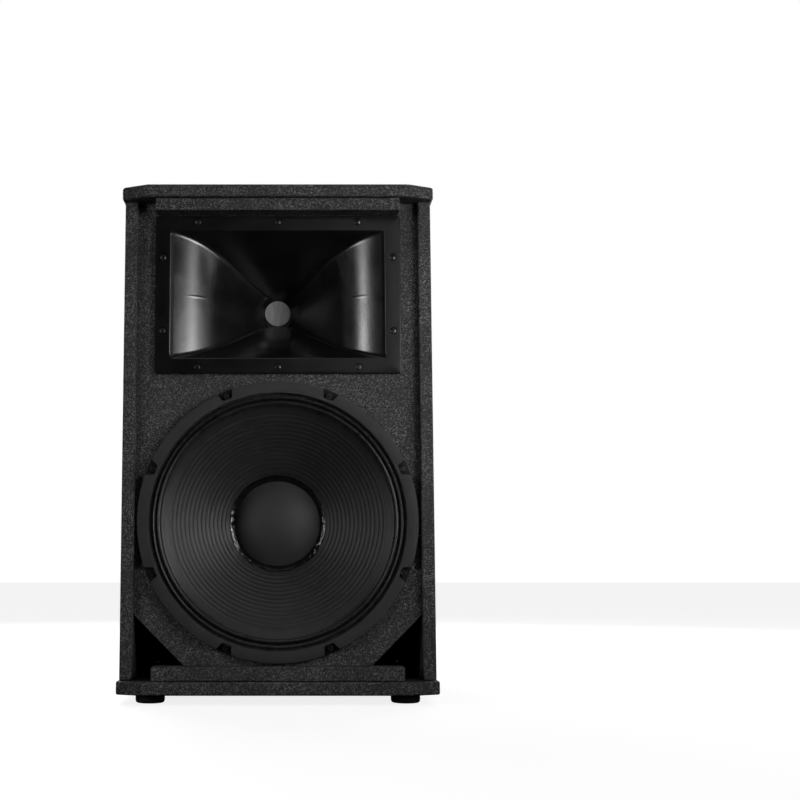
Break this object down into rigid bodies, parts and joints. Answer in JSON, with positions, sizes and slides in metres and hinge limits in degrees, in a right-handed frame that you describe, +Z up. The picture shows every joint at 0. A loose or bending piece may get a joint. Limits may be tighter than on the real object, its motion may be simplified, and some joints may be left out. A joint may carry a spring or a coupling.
{
  "type": "pa speaker cabinet",
  "caption": "Upright two-way loudspeaker cabinet, grille off: textured plywood box, rectangular horn above a large woofer, triangular corner ports, side handles, pole socket and feet.",
  "frame": {"origin": "on the floor under the feet, at the middle of the cabinet's width and depth", "axes": "-Y is the front, where the horn and woofer face; +X is the cabinet's right as seen from the front; +Z is up"},
  "size_m": [0.436, 0.43, 0.713],
  "materials": {
    "textured_paint": "black textured paint on plywood, fine orange-peel grain, semi-matt",
    "raw_board": "bare plywood, inside the cabinet",
    "wadding": "white polyester wadding",
    "rubber": "black moulded rubber, matt",
    "black_plastic": "black moulded plastic, fine matt grain",
    "horn_plastic": "black moulded plastic, satin",
    "foam": "black closed-cell foam",
    "throat_mesh": "light grey fine woven mesh",
    "steel": "zinc-plated steel",
    "ferrite": "dark ferrite ceramic",
    "surround_cloth": "black doped cloth, slightly glossy on its rolls",
    "titanium": "thin formed titanium",
    "frame_metal": "black powder-coated cast frame",
    "gasket_ring": "flat dark grey gasket material, matt",
    "cone_paper": "black pressed paper pulp with fine fibres",
    "dust_cap": "dark grey pressed felt, matt",
    "copper": "enamelled copper winding",
    "spider_cloth": "resin-dipped cotton cloth",
    "screw_black": "black oxide steel",
    "socket_plastic": "black moulded plastic",
    "circuit_board": "green glass-fibre circuit board",
    "capacitor": "red film capacitor",
    "lead": "black insulated twin lead"
  },
  "bodies": {
    "cabinet": {"top_panel": "textured_paint", "bottom_panel": "textured_paint", "left_side_panel": "textured_paint", "right_side_panel": "textured_paint", "back_panel": "textured_paint", "front_baffle": "textured_paint", "top_grille_batten": "textured_paint", "bottom_grille_batten": "textured_paint", "left_port_board": "textured_paint", "right_port_board": "textured_paint", "cross_brace": "raw_board", "damping_wadding": "wadding", "front_left_foot": "rubber", "front_right_foot": "rubber", "rear_left_foot": "rubber", "rear_right_foot": "rubber", "pole_socket": "black_plastic", "left_handle": "black_plastic", "right_handle": "black_plastic", "horn_flare": "horn_plastic", "horn_gasket": "foam", "throat_screen": "throat_mesh", "driver_pole_plate": "steel", "driver_phase_plug": "black_plastic", "driver_magnet": "ferrite", "driver_top_plate": "steel", "driver_suspension": "surround_cloth", "driver_rear_cover": "black_plastic", "driver_terminal": "black_plastic", "woofer_frame": "frame_metal", "woofer_gasket_ring": "gasket_ring", "woofer_surround": "surround_cloth", "woofer_spider": "spider_cloth", "woofer_front_plate": "steel", "woofer_magnet": "ferrite", "woofer_yoke": "steel", "woofer_terminal": "black_plastic", "input_dish": "black_plastic", "speaker_socket_1": "socket_plastic", "speaker_socket_2": "socket_plastic", "crossover_board": "circuit_board", "crossover_woofer_coil": "copper", "crossover_horn_coil": "copper", "crossover_capacitor": "capacitor", "input_lead": "lead", "woofer_lead": "lead", "driver_lead": "lead", "woofer_screw_1": "screw_black", "woofer_screw_2": "screw_black", "woofer_screw_3": "screw_black", "woofer_screw_4": "screw_black", "woofer_screw_5": "screw_black", "woofer_screw_6": "screw_black", "woofer_screw_7": "screw_black", "woofer_screw_8": "screw_black"},
    "woofer_moving": {"woofer_cone": "cone_paper", "woofer_dust_cap": "dust_cap", "woofer_voice_coil": "copper"},
    "driver_moving": {"driver_diaphragm": "titanium"}
  },
  "joints": [
    {"name": "cone_stroke", "type": "slide", "parent": "cabinet", "child": "woofer_moving", "axis": [0, -1, 0], "range_m": [-0.006, 0.006], "stiffness_N_per_m": 4000, "deforming": ["woofer_surround", "woofer_spider"]},
    {"name": "diaphragm_stroke", "type": "slide", "parent": "cabinet", "child": "driver_moving", "axis": [0, -1, 0], "range_m": [-0.0005, 0.0005], "stiffness_N_per_m": 1000, "deforming": ["driver_suspension"]}
  ]
}
